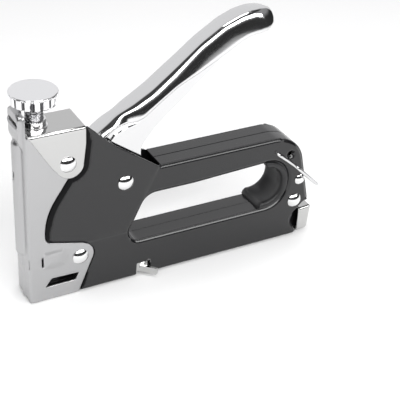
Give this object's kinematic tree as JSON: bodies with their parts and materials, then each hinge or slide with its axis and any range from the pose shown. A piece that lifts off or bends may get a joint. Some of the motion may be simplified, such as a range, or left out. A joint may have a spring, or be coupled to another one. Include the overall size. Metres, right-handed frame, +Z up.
{
  "type": "hand staple gun",
  "caption": "Hand staple gun with a rising squeeze lever, sheet-metal body round a finger window, spring-tension knob, pull-out staple magazine and wire lever lock.",
  "frame": {"origin": "middle of the nose front wall's foot, on the nose face that is pressed to the work", "axes": "+X from the nose to the rear along the magazine, +Y across the body to the right-hand shell, +Z up from the work along the driver's stroke"},
  "size_m": [0.1883, 0.032, 0.1529],
  "materials": {
    "black_paint": "semi-gloss black enamel on pressed steel",
    "satin_steel": "satin nickel-plated sheet",
    "bright_sheet": "bright plated sheet, lightly brushed",
    "lever_steel": "polished plated sheet",
    "knob_chrome": "polished chrome plate",
    "rivet_steel": "polished rivet heads",
    "rubber": "matte black rubber",
    "tool_steel": "ground hardened steel",
    "spring_steel": "drawn spring wire",
    "phosphated_steel": "dark phosphated sheet"
  },
  "bodies": {
    "body": {"left_shell": "black_paint", "right_shell": "black_paint", "nose_plate": "satin_steel", "top_cover": "bright_sheet", "knob_bush": "rivet_steel", "cover_rivets": "rivet_steel", "pivot_rivet": "rivet_steel", "nose_rivet": "rivet_steel", "rear_rivet": "rivet_steel", "small_rivet": "rivet_steel", "grip_insert": "rubber", "magazine_channel": "phosphated_steel", "striker_bumper": "rubber", "bumper_plate": "phosphated_steel", "lever_spring": "spring_steel", "main_spring": "spring_steel"},
    "seat": {"spring_seat": "phosphated_steel"},
    "knob": {"tension_knob": "knob_chrome"},
    "hammer": {"hammer": "tool_steel", "driver_blade": "tool_steel", "blade_rivets": "rivet_steel"},
    "lever": {"lever": "lever_steel", "lift_arm": "tool_steel", "arm_pin": "rivet_steel"},
    "wire_lock": {"wire_lock": "lever_steel"},
    "drawer": {"magazine_rail": "phosphated_steel", "magazine_cap": "bright_sheet", "guide_rod": "rivet_steel", "pusher_spring": "spring_steel"},
    "pusher": {"pusher": "phosphated_steel"},
    "catch": {"magazine_catch": "bright_sheet", "catch_spring": "spring_steel"}
  },
  "joints": [
    {"name": "lever_pivot", "type": "hinge", "parent": "body", "child": "lever", "pos_m": [0.0562, 0, 0.0659], "axis": [0, 1, 0], "range_deg": [0, 36], "stiffness_Nm_per_rad": 0.8, "springref_deg": -28.65},
    {"name": "hammer_lift", "type": "slide", "parent": "body", "child": "hammer", "axis": [0, 0, 1], "range_m": [0, 0.0236], "stiffness_N_per_m": 2500, "springref_m": -0.01, "deforming": ["main_spring"]},
    {"name": "seat_slide", "type": "slide", "parent": "body", "child": "seat", "axis": [0, 0, -1], "range_m": [-0.003, 0.0015]},
    {"name": "knob_turn", "type": "hinge", "parent": "seat", "child": "knob", "pos_m": [0.0088, 0, 0.123], "axis": [0, 0, -1], "range_deg": [-722, 362]},
    {"name": "wire_lock_swing", "type": "hinge", "parent": "body", "child": "wire_lock", "pos_m": [0.1533, 0, 0.062], "axis": [0, -1, 0], "range_deg": [0, 140]},
    {"name": "drawer_slide", "type": "slide", "parent": "body", "child": "drawer", "axis": [1, 0, 0], "range_m": [0, 0.075]},
    {"name": "pusher_slide", "type": "slide", "parent": "drawer", "child": "pusher", "axis": [1, 0, 0], "range_m": [0, 0.08], "stiffness_N_per_m": 30, "springref_m": -0.1, "deforming": ["pusher_spring"]},
    {"name": "catch_lift", "type": "slide", "parent": "body", "child": "catch", "axis": [0, 0, 1], "range_m": [0, 0.002], "stiffness_N_per_m": 600, "springref_m": -0.002, "deforming": ["catch_spring"]}
  ],
  "couplings": [
    {"joint": "hammer_lift", "follows": "lever_pivot", "m_per_rad": 0.037378},
    {"joint": "knob_turn", "follows": "seat_slide", "rad_per_m": 4188.8}
  ]
}
